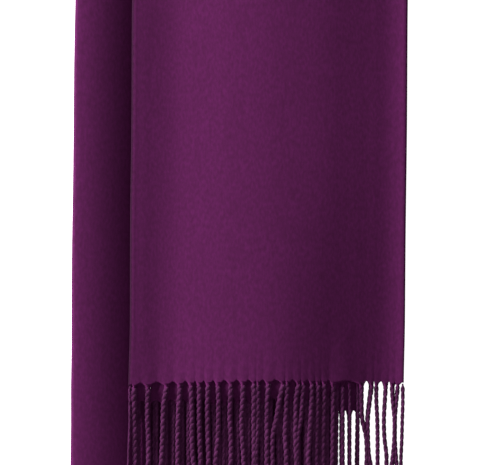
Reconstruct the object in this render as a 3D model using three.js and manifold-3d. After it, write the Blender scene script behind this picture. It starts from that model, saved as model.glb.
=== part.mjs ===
// A pashmina shawl with a twisted fringe, folded lengthwise in four, turned under once across its length
// and laid flat. Millimetres, +Z up, the cloth's length along Y. The front panel lies on top and ends in
// its fringe. The back panel lies under it, reaches further down and shows along the left.
import * as THREE from "three";
import { mergeVertices } from "three/addons/utils/BufferGeometryUtils.js";
import Module from "manifold-3d";

const wasm = await Module();
wasm.setup();

// The cloth and its cut
const WALL = 1.2; // one layer of brushed cloth
const GAP = 0.3; // clearance between pieces that lie on each other
const PLY = WALL + GAP; // from one folded layer to the next
const REST_GAP = 0.6; // clearance between the front band and the back one under it
const FRONT_LENGTH = 760; // hem to top fold
const BACK_LENGTH = 910; // top fold to the other hem
const FRINGE_LENGTH = 90;

// Where the folded cloth lies
const HALF_LENGTH = 500; // half of the whole, fringe included
const TURN_RADIUS = 8; // outside of the top fold, where eight layers turn
const TURN_Y = HALF_LENGTH - TURN_RADIUS;
const HEM_Y = HALF_LENGTH - FRONT_LENGTH;
const FRONT_BAND = { left: -70, right: 106 };
const BACK_BAND = { left: -106.9, right: 63 };
const TURN_BAND = { left: -88, right: 86 };
const LEAN = 0.008; // sideways shift of both bands for each millimetre up
const GATHER_FROM = 60; // above this the two bands draw together towards the top fold
const FOLD_DEPTH = 4.5; // how far a rounded side fold reaches in from its edge

// The layers of each band, face first: face, second, third, under. The left fold joins face to under and
// second to third. The right fold joins face to second, and the third and under layers end in a selvedge
// short of it.
const BAND_THICKNESS = 4 * PLY;
const EDGE = WALL + 0.5 * GAP; // how far the right fold's curve reaches in from its edge
const SELVEDGE_INSET = 147; // beyond this distance from the left fold only face and second are left
const LIP = 7; // how far the face layer's left fold is carried under the band
const SECOND_HEM = { left: 11, middle: 8, right: 16 }; // how far the second layer hangs below the front hem
const UNDER_HEM = 1; // how far the two lowest layers hang below it
const HEM_RISE = 2.5; // the front hem curves up this much between its corners

// Height of the front panel's face above the floor, at distances in from its left fold.
// "hem" is the section at the hem, and "upper" the one 250 mm above it.
const FACE_HEIGHTS = [
  { from_left: 0, hem: 12.8, upper: 12.8 },
  { from_left: 8, hem: 12.8, upper: 12.8 },
  { from_left: 18, hem: 12.8, upper: 12.8 },
  { from_left: 38, hem: 14.2, upper: 13.8 },
  { from_left: 60, hem: 16.5, upper: 15.6 },
  { from_left: 80, hem: 17.2, upper: 16.2 },
  { from_left: 97, hem: 15.9, upper: 15.2 },
  { from_left: 110, hem: 13.4, upper: 13.2 },
  { from_left: 122, hem: 11.4, upper: 11.5 },
  { from_left: 133, hem: 10.5, upper: 10.6 },
  { from_left: 141, hem: 9.7, upper: 9.8 },
  { from_left: 147, hem: 8.1, upper: 8.2 },
  { from_left: 153, hem: 5.8, upper: 5.9 },
  { from_left: 159, hem: 4.2, upper: 4.3 },
  { from_left: 165, hem: 3.6, upper: 3.7 },
  { from_left: 171, hem: 3.8, upper: 3.9 },
  { from_left: 177, hem: 3.6, upper: 3.7 },
];
const UPPER_SECTION = 250; // distance of the upper section above the hem
const FLATTEN_FROM = 300; // above this the face flattens towards the top fold
const LOOP_FROM = 425; // above this the front band lifts off the back one into the fold's loop
const BACK_PUFF = 3.4; // rise of the back panel's strip towards its loose left fold
const BACK_CLEAR = 2; // room beside the back band's right edge
const DROP_FROM = 5; // past the back band the front one starts to come down to the floor this far out
const DROP_WIDTH = 13; // and comes down over this width
const DROP_REACH = { none: 10, full: 38 }; // it does so only where it reaches far enough past the back band

// Fringe strands
const STRAND_RADIUS = 1.3;
const THIN_STRAND_RADIUS = 1.05; // on the lowest rows, where strands lie closest
const STRIP = 2.2; // length of the woven edge strip that carries each row of strands
const ROOT = 1.6; // how far below its hem a strand starts
const LEVELS = { under: 1.25, second: 3.6, face: 6.6 }; // strand centres above what the fringe lies on
const SETTLE_FROM = 8; // below the hem the strands start to come down
const SETTLE_OVER = 40;

// The front fringe: root is the distance in from the left fold, drift the sideways shift and bow the
// sideways bulge, both over the first 51 mm of a strand.
const SHIFT_LENGTH = 51;
const FACE_STRANDS = [
  { root: -0.1, drift: -1.7, bow: -0.2 },
  { root: 2.7, drift: 0, bow: 0.1 },
  { root: 11.9, drift: -0.2, bow: -0.2 },
  { root: 23.7, drift: -3.2, bow: -1.3 },
  { root: 31.7, drift: -0.3, bow: 0 },
  { root: 39.7, drift: 1.7, bow: 0.1 },
  { root: 44.8, drift: 0.6, bow: -0.3 },
  { root: 50.2, drift: -0.1, bow: -0.7 },
  { root: 57.3, drift: -2.5, bow: 0.7 },
  { root: 64, drift: 0.9, bow: 0 },
  { root: 72.3, drift: 0.6, bow: -0.9 },
  { root: 80.4, drift: -0.6, bow: -0.3 },
  { root: 88.3, drift: -1, bow: 0.1 },
  { root: 97.7, drift: -6.6, bow: -1.5 },
  { root: 107.5, drift: -1.7, bow: -0.7 },
  { root: 116.7, drift: -3.4, bow: 0.3 },
  { root: 125.2, drift: -1.9, bow: 0.2 },
  { root: 136.3, drift: -1, bow: -0.8 },
  { root: 148.1, drift: 2.9, bow: -0.8 },
  { root: 157.8, drift: 0.2, bow: -0.2 },
  { root: 163.8, drift: 0.3, bow: -1.5 },
  { root: 170.9, drift: -0.9, bow: -0.4 },
  { root: 174.4, drift: -1.2, bow: 0.3 },
];
const SECOND_ROOTS = [7, 16.6, 25.6, 35.8, 47, 60.6, 68.5, 76.2, 84.2, 93.1, 101.8, 110.7, 119.4, 129.5];
const SECOND_RIGHT_ROOTS = [135.3, 139.9, 145.3];
const UNDER_PITCH = 4.05; // the two lowest layers' strands lie side by side
const UNDER_COUNT = 32;
const UNDER_RIGHT_ROOTS = [135.2, 139.9, 145.3, 148.6, 154.5, 158.1, 163.6, 167.3, 171.2];
const BACK_STRANDS = 20; // on the back panel's own hem
const BACK_UNDER_STRANDS = 25; // on the layers below it

const mix = (a, b, t) => a + (b - a) * t;

// Evenly spaced numbers from start to end.
const steps = (start, end, count) => Array.from({ length: count + 1 }, (_, i) => mix(start, end, i / count));

function smooth(t) {
  const c = Math.min(1, Math.max(0, t));
  return c * c * (3 - 2 * c);
}

// A steady number from -1 to 1 for a strand or wave, so that its irregularity is the same every time.
function wobble(index, seed) {
  const s = Math.sin(index * 12.9898 + seed * 78.233) * 43758.5453;
  return 2 * (s - Math.floor(s)) - 1;
}

// A smooth curve through one column of a table, read at a distance along it.
function curveThrough(rows, column, at) {
  const last = rows.length - 1;
  const where = (i) => rows[Math.min(last, Math.max(0, i))];
  const slope = (i) => {
    const span = where(i + 1).from_left - where(i - 1).from_left;
    return (where(i + 1)[column] - where(i - 1)[column]) / span;
  };
  let k = 0;
  while (k < last - 1 && at > rows[k + 1].from_left) k += 1;
  const length = rows[k + 1].from_left - rows[k].from_left;
  const t = Math.min(1, Math.max(0, (at - rows[k].from_left) / length));
  const rise = rows[k + 1][column] - rows[k][column];
  const start = slope(k) * length;
  const end = slope(k + 1) * length;
  const square = 3 * rise - 2 * start - end;
  const cube = start + end - 2 * rise;
  return rows[k][column] + start * t + square * t * t + cube * t * t * t;
}

// Left and right edges of a band at a height along Y.
function edges(band, y) {
  const t = smooth((y - GATHER_FROM) / (TURN_Y - GATHER_FROM));
  const lean = LEAN * (y - HEM_Y);
  return {
    left: mix(band.left, TURN_BAND.left, t) + lean,
    right: mix(band.right, TURN_BAND.right, t) + lean,
  };
}

// The points across a band's face, from where its left fold ends to where its right fold starts, and the one
// of them at which the third and under layers end.
const FACE_POINTS = 18;
const SELVEDGE_POINT = 15;

const across = (band) => steps(band.left + FOLD_DEPTH, band.right - EDGE, FACE_POINTS);

// The back band's own edges, with the room left beside it.
function backEdges(y) {
  const { left, right } = edges(BACK_BAND, y);
  return { left, right: right - BACK_CLEAR };
}

// Top of the back band above the floor. It rises where nothing presses it, towards its left fold, and is two
// layers lower past its selvedges.
function backTop(x, y) {
  const back = backEdges(y);
  const front = edges(FRONT_BAND, y);
  const apart = (front.left - back.left) / (FRONT_BAND.left - BACK_BAND.left);
  const strip = front.left - back.left - FOLD_DEPTH;
  const puff = BACK_PUFF * apart * smooth((front.left - x - 1) / Math.max(strip, 1));
  const step = 2 * PLY * (1 - smooth((y - FLATTEN_FROM) / (TURN_Y - FLATTEN_FROM)));
  return BAND_THICKNESS + puff - step * smooth((x - across(back)[SELVEDGE_POINT] - 8) / 12);
}

// How far x is past the back band's right edge, as far as the cloth follows it down to the floor there.
function pastBack(x, y) {
  const edge = edges(BACK_BAND, y).right;
  const reach = edges(FRONT_BAND, y).right - edge;
  return (x - edge) * smooth((reach - DROP_REACH.none) / (DROP_REACH.full - DROP_REACH.none));
}

// What the front band and its fringe lie on: the back band, then the floor past its right edge.
function frontUnder(x, y) {
  const drop = smooth((pastBack(x, y) - DROP_FROM) / DROP_WIDTH);
  const lying = mix(backTop(x, y) + REST_GAP, 0, drop);
  const lift = smooth((y - LOOP_FROM) / (TURN_Y - LOOP_FROM));
  return mix(lying, 2 * TURN_RADIUS - BAND_THICKNESS, lift);
}

// The front panel's face above the floor.
function frontFace(x, y) {
  const front = edges(FRONT_BAND, y);
  const back = edges(BACK_BAND, y);
  const lyingWidth = BACK_BAND.right - FRONT_BAND.left;
  const inward = (Math.min(x, back.right) - front.left) * (lyingWidth / (back.right - front.left));
  const inset = inward + Math.max(0, pastBack(x, y));
  const hem = curveThrough(FACE_HEIGHTS, "hem", inset);
  const upper = curveThrough(FACE_HEIGHTS, "upper", inset);
  const layers = BAND_THICKNESS + 0.1 - (2 * PLY - 0.2) * smooth((inset - SELVEDGE_INSET) / 6);
  const lying = Math.max(mix(hem, upper, smooth((y - HEM_Y) / UPPER_SECTION)), frontUnder(x, y) + layers);
  const flat = smooth((y - FLATTEN_FROM) / (TURN_Y - FLATTEN_FROM));
  return mix(lying, 2 * TURN_RADIUS, flat);
}

// The band from hem to hem: "along" is the distance from the front hem, "height" the distance from the floor
// as if the whole band lay face up. Past the top fold the band lies upside down.
const TURN_START = FRONT_LENGTH - TURN_RADIUS;
const TURN_ARC = Math.PI * TURN_RADIUS;
const TURN_END = TURN_START + TURN_ARC;
const BACK_HEM = TURN_END + BACK_LENGTH - TURN_RADIUS;

function place(x, along, height) {
  const radius = height - TURN_RADIUS;
  if (along <= TURN_START) return [x, HEM_Y + along, height];
  if (along >= TURN_END) return [x, TURN_Y - (along - TURN_END), TURN_RADIUS - radius];
  const angle = (Math.PI * (along - TURN_START)) / TURN_ARC;
  return [x, TURN_Y + radius * Math.sin(angle), TURN_RADIUS + radius * Math.cos(angle)];
}

// The band's section at a distance from the front hem: its edges, and the heights of its two outer faces.
function section(along) {
  if (along <= TURN_END) {
    const y = Math.min(TURN_Y, HEM_Y + along);
    return {
      ...edges(FRONT_BAND, y),
      face: (x) => frontFace(x, y),
      under: (x) => frontUnder(x, y),
    };
  }
  const y = TURN_Y - (along - TURN_END);
  return {
    ...backEdges(y),
    face: () => 2 * TURN_RADIUS,
    under: (x) => 2 * TURN_RADIUS - backTop(x, y),
  };
}

// A ring of points as it looks from the front.
const flatOutline = (ring) => ring.map(([x, , z]) => [x, z]);

// Triangles that fill an outline, anticlockwise. One layer of cloth is filled from one side to the other,
// as its end may be curved.
const fillOutline = (contour) => THREE.ShapeUtils.triangulateShape(contour, []);

function fillLayer(contour) {
  const last = contour.length - 1;
  const quads = contour.slice(0, contour.length / 2 - 1).map((_, i) => [i, i + 1, last - 1 - i, last - i]);
  const clockwise = THREE.ShapeUtils.isClockWise(contour);
  const split = ([a, b, c, d]) => (clockwise ? [[a, c, b], [a, d, c]] : [[a, b, c], [a, c, d]]);
  return quads.flatMap(split);
}

// A closed solid through rings of points that run along the cloth. Each ring's outline says how it looks
// from the front, which gives the way round it and the filling of the two ends.
function solidThrough(rings, outlines = rings.map(flatOutline), fill = fillOutline) {
  const contours = outlines.map((outline) => outline.map(([x, height]) => new THREE.Vector2(x, height)));
  const clockwise = THREE.ShapeUtils.isClockWise(contours[0]);
  const count = rings[0].length;
  const index = [];
  const addFace = (a, b, c) => index.push(...(clockwise ? [a, b, c] : [a, c, b]));
  for (let r = 0; r + 1 < rings.length; r += 1) {
    for (let i = 0; i < count; i += 1) {
      const a = r * count + i;
      const b = r * count + ((i + 1) % count);
      addFace(a, b, b + count);
      addFace(a, b + count, a + count);
    }
  }
  const last = rings.length - 1;
  const end = last * count;
  for (const [a, b, c] of fill(contours[0])) index.push(a, b, c);
  for (const [a, b, c] of fill(contours[last])) index.push(end + a, end + c, end + b);
  const geometry = new THREE.BufferGeometry();
  geometry.setAttribute("position", new THREE.BufferAttribute(new Float32Array(rings.flat(2)), 3));
  geometry.setIndex(index);
  return geometry;
}

// A solid swept along the band. outlineAt gives the outline, anticlockwise in (x, height), at each station.
function sweep(stations, outlineAt, fill) {
  const outlines = stations.map((along) => outlineAt(along));
  const rings = outlines.map((outline, i) => outline.map(([x, height]) => place(x, stations[i], height)));
  return solidThrough(rings, outlines, fill);
}

// The outline of one layer of cloth with this middle line, which runs from right to left.
function layerOutline(middle) {
  const side = (sign) =>
    middle.map(([x, height], i) => {
      const [x0, h0] = middle[Math.max(0, i - 1)];
      const [x1, h1] = middle[Math.min(middle.length - 1, i + 1)];
      const offset = (sign * 0.5 * WALL) / Math.hypot(x1 - x0, h1 - h0);
      return [x - offset * (h1 - h0), height + offset * (x1 - x0)];
    });
  return [...side(-1), ...side(1).reverse()];
}

// Middle line of a layer that is carried round the left fold: across from the right, round, and a lip on the
// band's other side. "outer" and "inner" are the heights of the band's two faces.
const FOLD_POINTS = 5;

function foldedLine(band, outer, inner, xs) {
  const turnX = band.left + FOLD_DEPTH;
  const sign = Math.sign(outer(turnX) - inner(turnX));
  const inset = 0.5 * WALL * sign;
  const line = [...xs].reverse().map((x) => [x, outer(x) - inset]);
  const top = outer(turnX) - inset;
  const bottom = inner(turnX) + inset;
  for (const angle of steps(0, Math.PI, FOLD_POINTS).slice(1)) {
    const x = turnX - (FOLD_DEPTH - 0.5 * WALL) * Math.sin(angle);
    line.push([x, mix(bottom, top, 0.5 + 0.5 * Math.cos(angle))]);
  }
  line.push([turnX + LIP, inner(turnX + LIP) + inset]);
  return line;
}

// The layer seen on the front, carried over the top fold. Its right fold turns under it into the second
// layer, as far as the next point across.
function faceOutline(along) {
  const band = section(along);
  const xs = across(band);
  const turnX = xs[FACE_POINTS];
  const lipX = xs[FACE_POINTS - 1] + GAP;
  const top = band.face(turnX) - 0.5 * WALL;
  const rightFold = steps(0, Math.PI, 4)
    .slice(0, -1)
    .map((angle) => [turnX + 0.5 * PLY * Math.sin(angle), top - 0.5 * PLY * (1 + Math.cos(angle))]);
  const lip = [lipX, band.face(lipX) - 0.5 * WALL - PLY];
  return layerOutline([lip, ...rightFold, ...foldedLine(band, band.face, band.under, xs)]);
}

// The layer seen on the back stretch. There the band lies upside down, so its under layer is the one on top,
// and it ends in its selvedge.
function backOutline(along) {
  const band = section(along);
  return layerOutline(foldedLine(band, band.under, band.face, across(band).slice(0, SELVEDGE_POINT + 1)));
}

// The left part of the hidden layers' outline: under the lip of the layer round them, and round the fold.
function innerFold(band, outer, inner) {
  const turnX = band.left + FOLD_DEPTH;
  const sign = Math.sign(outer(turnX) - inner(turnX));
  const high = outer(turnX) - PLY * sign;
  const low = inner(turnX) + PLY * sign;
  const lipX = turnX + LIP + GAP;
  const round = steps(0, Math.PI, 4)
    .slice(0, -1)
    .map((angle) => [
      turnX - (FOLD_DEPTH - PLY) * Math.sin(angle),
      mix(high, low, 0.5 + 0.5 * Math.cos(angle)),
    ]);
  return [[lipX, inner(lipX)], [lipX, inner(turnX + LIP) + PLY * sign], ...round];
}

// The front's hidden layers as one rounded solid: second, third and under, and second alone past the
// selvedges.
function frontInnerOutline(along) {
  const band = section(along);
  const xs = across(band);
  const upper = xs.slice(0, FACE_POINTS).map((x) => [x, band.face(x) - PLY]);
  const second = xs.slice(SELVEDGE_POINT + 1, FACE_POINTS).reverse();
  second.push(xs[SELVEDGE_POINT] + GAP);
  const lower = second.map((x) => [x, band.face(x) - PLY - WALL]);
  const under = xs.slice(2, SELVEDGE_POINT + 1).reverse().map((x) => [x, band.under(x)]);
  return [...upper, ...lower, ...under, ...innerFold(band, band.face, band.under)];
}

// The back's hidden layers, drawn as the band lies: third under its top layer as far as the selvedges, then
// the second and face layers on the floor, which end in the right fold.
function backInnerOutline(along) {
  const band = section(along);
  const xs = across(band);
  const floor = band.face(0);
  const upper = xs.slice(0, SELVEDGE_POINT + 1).map((x) => [x, band.under(x) + PLY]);
  const foldX = xs[FACE_POINTS];
  const lower = steps(xs[SELVEDGE_POINT] + 0.5, foldX, 2).map((x) => [x, floor - 2 * PLY]);
  const round = steps(0, Math.PI, 4)
    .slice(1, -1)
    .map((angle) => [foldX + EDGE * Math.sin(angle), floor - PLY * (1 + Math.cos(angle))]);
  const under = xs.slice(2).reverse().map((x) => [x, floor]);
  return [...upper, ...lower, ...round, ...under, ...innerFold(band, band.under, band.face)];
}

// A three.js geometry as a solid that can be joined, and back.
function toSolid(geometry) {
  const merged = mergeVertices(geometry, 1e-4);
  return new wasm.Manifold(
    new wasm.Mesh({
      numProp: 3,
      vertProperties: merged.attributes.position.array,
      triVerts: new Uint32Array(merged.index.array),
    }),
  );
}

function toGeometry(solid) {
  const made = solid.getMesh();
  const geometry = new THREE.BufferGeometry();
  geometry.setAttribute("position", new THREE.BufferAttribute(new Float32Array(made.vertProperties), 3));
  geometry.setIndex(new THREE.BufferAttribute(new Uint32Array(made.triVerts), 1));
  return geometry;
}

const joined = (solids) => solids.reduce((all, next) => all.add(next));

// The points across the second layer at the hem, and how far it hangs below the front hem at x.
const SECOND_POINTS = across(edges(FRONT_BAND, HEM_Y)).slice(0, SELVEDGE_POINT + 1);

function secondHang(x) {
  const t = (x - SECOND_POINTS[0]) / (SECOND_POINTS[SELVEDGE_POINT] - SECOND_POINTS[0]);
  const middle = mix(SECOND_HEM.left, SECOND_HEM.middle, smooth(t / 0.5));
  return mix(middle, SECOND_HEM.right, smooth((t - 0.7) / 0.3));
}

// Heights of the three rows of cloth at the front hem, below the hem itself too.
const hemFace = (x) => frontFace(x, HEM_Y);
const secondMiddle = (x, below) => hemFace(x) - PLY - 0.5 * WALL - 0.5 * smooth(below / 10);
const hemCurve = (x) => {
  const { left, right } = edges(FRONT_BAND, HEM_Y);
  return HEM_RISE * Math.sin((Math.PI * (x - left)) / (right - left));
};

// A flat tongue of one layer between two lines across the band, as a grid of points turned into a solid.
function tongue(xs, fromY, toY, rows, middle, thickness) {
  const rings = steps(0, 1, rows).map((t) => {
    const point = (offset) => (x) => {
      const y = mix(fromY(x), toY(x), t);
      return [x, y, middle(x, y) + offset];
    };
    const under = xs.map(point(-0.5 * thickness));
    const over = xs.map(point(0.5 * thickness));
    return [...under, ...over.reverse()];
  });
  rings.reverse();
  return solidThrough(rings, rings.map(flatOutline), fillLayer);
}

const group = new THREE.Group();

function addPiece(name, geometry, color) {
  const material = new THREE.MeshStandardMaterial({ color, roughness: 0.95, metalness: 0 });
  const mesh = new THREE.Mesh(geometry, material);
  mesh.name = name;
  group.add(mesh);
}

const CLOTH = 0x5e2156;
const HIDDEN_CLOTH = 0x4b1a45;
const YARN = 0x6a2860;

// Stations along the front, closer together round the top fold, and along the back
const FRONT_STATIONS = [0, 60, 130, 200, 280, 360, 440, 520, 590, 650, 700, TURN_START];
const TURN_STATIONS = steps(TURN_START, TURN_END, 6).slice(1);
const BACK_STATIONS = steps(TURN_END + GAP, BACK_HEM, 12);

// The front hem is curved, so the first station of each front piece follows the curve.
function curvedHem(geometry, reach) {
  const at = geometry.attributes.position;
  for (let i = 0; i < at.count; i += 1) {
    const fade = 1 - smooth((at.getY(i) - HEM_Y) / reach);
    if (at.getY(i) < HEM_Y + reach) at.setY(i, at.getY(i) + hemCurve(at.getX(i)) * fade);
  }
  return geometry;
}

const frontSheet = sweep([...FRONT_STATIONS, ...TURN_STATIONS], faceOutline, fillLayer);
addPiece("front_panel", curvedHem(frontSheet, 60), CLOTH);

// The front's hidden layers: the two lowest end at the hem, and the second hangs further below it.
function frontInner() {
  const stations = [-UNDER_HEM, ...FRONT_STATIONS.slice(1), ...TURN_STATIONS];
  const core = toSolid(sweep(stations, frontInnerOutline));
  const hang = tongue(
    SECOND_POINTS,
    () => HEM_Y + 2,
    (x) => HEM_Y - secondHang(x),
    4,
    (x, y) => secondMiddle(x, HEM_Y - y),
    WALL,
  );
  return toGeometry(joined([core, toSolid(hang)]));
}

addPiece("front_inner_layers", frontInner(), HIDDEN_CLOTH);
addPiece("back_panel", sweep(BACK_STATIONS, backOutline, fillLayer), CLOTH);
const hiddenStations = [...BACK_STATIONS.slice(0, -1), BACK_HEM - 4];
addPiece("back_inner_layers", sweep(hiddenStations, backInnerOutline), HIDDEN_CLOTH);

// One strand as a tube of 3 or 4 sides, from its root down the Y axis to its tip.
function strand({ x, y, length, sideways, height, radius, sides, rings }) {
  const loops = steps(0, 1, rings).map((t) => {
    const down = t * length;
    const cx = x + sideways(down);
    const cz = height(cx, y - down);
    const size = radius * (t < 1 ? 1 : 0.55);
    const corners = steps(0, 2 * Math.PI, sides).slice(0, -1);
    return corners.map((angle) => [cx + size * Math.sin(angle), y - down, cz - size * Math.cos(angle)]);
  });
  return toSolid(solidThrough(loops.reverse()));
}

// Sideways path of a strand, which runs straight on past the measured stretch.
const sway = (drift, bow) => (down) => {
  const t = Math.min(1, down / SHIFT_LENGTH);
  return drift * t + bow * Math.sin(Math.PI * t);
};

// Height of a front strand: from its own layer at the hem down to the level where its row settles.
const settling = (start, level) => (x, y) => {
  const down = smooth((HEM_Y - y - SETTLE_FROM) / SETTLE_OVER);
  return mix(start(x), frontUnder(x, y) + level(x), down);
};

function frontFringe() {
  const { left, right } = edges(FRONT_BAND, HEM_Y);
  const strip = tongue(
    [left + 0.8, ...across({ left, right })],
    (x) => HEM_Y + hemCurve(x) - GAP,
    (x) => HEM_Y + hemCurve(x) - GAP - STRIP,
    1,
    (x) => hemFace(x) - 0.5 * WALL,
    WALL,
  );
  const beyondSecond = (x) => smooth((x - left - 143) / 8);
  const level = (x) => mix(LEVELS.face, LEVELS.second, beyondSecond(x));
  const strands = FACE_STRANDS.map(({ root, drift, bow }, i) =>
    strand({
      x: left + root,
      y: HEM_Y + hemCurve(left + root) - ROOT,
      length: FRINGE_LENGTH - ROOT - 1.5 * Math.abs(wobble(i, 1)),
      sideways: sway(drift, bow),
      height: settling((x) => hemFace(x) + 0.2, level),
      radius: STRAND_RADIUS,
      sides: 4,
      rings: 6,
    }),
  );
  return toGeometry(joined([toSolid(strip), ...strands]));
}

function frontSecondFringe() {
  const { left } = edges(FRONT_BAND, HEM_Y);
  const hemY = (x) => HEM_Y - secondHang(x);
  const middle = (x) => secondMiddle(x, 10);
  const strip = tongue(
    SECOND_POINTS,
    (x) => hemY(x) - GAP,
    (x) => hemY(x) - GAP - STRIP,
    1,
    middle,
    WALL,
  );
  const strands = [...SECOND_ROOTS, ...SECOND_RIGHT_ROOTS].map((root, i) =>
    strand({
      x: left + root,
      y: hemY(left + root) - ROOT - 0.4,
      length: FRINGE_LENGTH - 3 - 2 * Math.abs(wobble(i, 2)),
      sideways: sway(root > 130 ? -0.3 : 1.1 * wobble(i, 3), 0.3 * wobble(i, 4)),
      height: settling(middle, () => LEVELS.second),
      radius: STRAND_RADIUS,
      sides: 4,
      rings: 4,
    }),
  );
  return toGeometry(joined([toSolid(strip), ...strands]));
}

function frontUnderFringe() {
  const { left, right } = edges(FRONT_BAND, HEM_Y);
  const hemY = HEM_Y - UNDER_HEM;
  const rise = LEVELS.under;
  const strip = tongue(
    across({ left, right: right - 1 }),
    () => hemY - GAP,
    () => hemY - GAP - STRIP,
    1,
    (x, y) => frontUnder(x, y) + rise - 0.25,
    1.3 * WALL,
  );
  const leftRoots = steps(0, UNDER_COUNT - 1, UNDER_COUNT - 1).map((i) => 5.5 + UNDER_PITCH * i);
  const roots = [...leftRoots.filter((root) => root < UNDER_RIGHT_ROOTS[0] - 3), ...UNDER_RIGHT_ROOTS];
  const strands = roots.map((root, i) =>
    strand({
      x: left + root,
      y: hemY - ROOT,
      length: FRINGE_LENGTH - 2 - 2 * Math.abs(wobble(i, 5)),
      sideways: sway(root > 148 ? 0 : 0.5 * wobble(i, 6), 0),
      height: (x, y) => frontUnder(x, y) + rise,
      radius: THIN_STRAND_RADIUS,
      sides: 3,
      rings: 3,
    }),
  );
  return toGeometry(joined([toSolid(strip), ...strands]));
}

addPiece("front_fringe", frontFringe(), YARN);
addPiece("front_second_fringe", frontSecondFringe(), YARN);
addPiece("front_under_fringe", frontUnderFringe(), YARN);

// A row of the back fringe: a strip off the hem of its layers, and its strands settling on the row below.
const BACK_HEM_Y = HALF_LENGTH - BACK_LENGTH;

function backFringe({ points, middle, thickness, level, roots, radius, sides, seed }) {
  const hemY = BACK_HEM_Y;
  const strip = tongue(
    points,
    () => hemY - GAP,
    () => hemY - GAP - STRIP,
    1,
    middle,
    thickness,
  );
  const start = points[0] + 2;
  const pitch = (points[points.length - 1] - 2 - start) / (roots - 1);
  const strands = steps(0, roots - 1, roots - 1).map((i) =>
    strand({
      x: start + pitch * i + 0.2 * pitch * wobble(i, seed),
      y: hemY - ROOT,
      length: FRINGE_LENGTH - ROOT - (i % 3 ? 1 + Math.abs(wobble(i, seed + 1)) : 0),
      sideways: sway(0.5 * wobble(i, seed + 2), 0.3 * wobble(i, seed + 3)),
      height: (x, y) => mix(middle(x), level, smooth((hemY - y - 4) / 25)),
      radius,
      sides,
      rings: 4,
    }),
  );
  return toGeometry(joined([toSolid(strip), ...strands]));
}

const BACK_POINTS = across(backEdges(BACK_HEM_Y));

const backUpper = {
  points: BACK_POINTS.slice(0, SELVEDGE_POINT + 1),
  middle: (x) => backTop(x, BACK_HEM_Y) - 0.5 * WALL,
  thickness: WALL,
  level: LEVELS.second,
  roots: BACK_STRANDS,
  radius: STRAND_RADIUS,
  sides: 4,
  seed: 11,
};

const backLower = {
  points: BACK_POINTS,
  middle: () => LEVELS.under,
  thickness: 2 * WALL - 0.2,
  level: LEVELS.under,
  roots: BACK_UNDER_STRANDS,
  radius: THIN_STRAND_RADIUS,
  sides: 3,
  seed: 21,
};

addPiece("back_fringe", backFringe(backUpper), YARN);
addPiece("back_under_fringe", backFringe(backLower), YARN);

// The origin is the middle of the whole on the floor.
const whole = new THREE.Box3().setFromObject(group);
const middle = whole.getCenter(new THREE.Vector3());
group.position.set(-middle.x, -middle.y, -whole.min.z);
group.updateMatrixWorld(true);
export default group;
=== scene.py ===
# %% [markdown]
# # A folded pashmina shawl
# The real shawl is one rectangle of brushed cloth, about 660 mm wide and 1680 mm long. Its own warp ends are
# twisted into a 90 mm fringe. It is folded lengthwise in four, turned under once across its length and laid
# flat. The folds show along both sides, so the whole cloth is made here as one sheet that really runs round
# every fold, where a stack of loose layers would show cut edges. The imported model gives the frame, and this
# scene works in its millimetres and turns them into metres when a point is placed.

import math

import bpy
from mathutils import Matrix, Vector


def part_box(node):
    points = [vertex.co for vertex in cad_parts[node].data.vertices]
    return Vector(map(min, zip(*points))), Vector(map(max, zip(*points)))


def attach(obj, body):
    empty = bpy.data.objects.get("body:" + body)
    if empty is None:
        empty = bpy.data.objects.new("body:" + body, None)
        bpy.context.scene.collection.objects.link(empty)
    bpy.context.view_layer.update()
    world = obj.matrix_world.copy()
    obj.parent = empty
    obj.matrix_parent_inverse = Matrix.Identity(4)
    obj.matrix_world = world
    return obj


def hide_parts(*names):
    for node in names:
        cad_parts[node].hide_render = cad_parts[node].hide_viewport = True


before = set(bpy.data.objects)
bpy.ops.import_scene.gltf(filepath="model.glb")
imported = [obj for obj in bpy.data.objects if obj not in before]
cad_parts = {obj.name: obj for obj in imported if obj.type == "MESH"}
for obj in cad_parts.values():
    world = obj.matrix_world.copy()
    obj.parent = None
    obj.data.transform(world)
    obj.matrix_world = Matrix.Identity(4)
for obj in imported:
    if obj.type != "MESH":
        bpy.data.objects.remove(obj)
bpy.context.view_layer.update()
MM = 0.001

# %% [markdown]
# ## Where the cloth lies
# The hems, the top fold and the fringe tips are read from the frame's boxes. Both stretches are bands of four
# layers. The back band lies a little to the left of the front one, so it shows along the left side and below
# the front fringe. Each band is a long strip whose edges lean a little and draw together towards the top fold.

# %% Places taken from the frame


def in_mm(name):
    """A node's lowest and highest corners in millimetres."""
    low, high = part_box(name)
    return [v / MM for v in low], [v / MM for v in high]


HEM_Y = in_mm("front_panel")[0][1]
TOP_Y = in_mm("front_panel")[1][1]
BACK_HEM_Y = in_mm("back_panel")[0][1]
FRINGE_LENGTH = BACK_HEM_Y - in_mm("back_fringe")[0][1]
TURN_RADIUS = 8.0
TURN_Y = TOP_Y - TURN_RADIUS
FRONT_BAND = {"left": -70.0, "right": 105.4, "lean": (0.012, 0.010)}
BACK_BAND = {"left": -106.4, "right": 61.0, "lean": (0.0115, 0.008)}
TURN_BAND = {"left": -88.0, "right": 86.0}
GATHER_FROM = 60.0  # from this y up, both bands draw together towards the turn


def mix(a, b, t):
    """The value a share t of the way from a to b."""
    return a + (b - a) * t


def smooth(t):
    """A share from 0 to 1 that starts and ends gently."""
    t = min(1.0, max(0.0, t))
    return t * t * (3 - 2 * t)


def wobble(index, seed):
    """A steady number from -1 to 1, so that each strand's irregularity is the same every time."""
    s = math.sin(index * 12.9898 + seed * 78.233) * 43758.5453
    return 2 * (s - math.floor(s)) - 1


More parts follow.
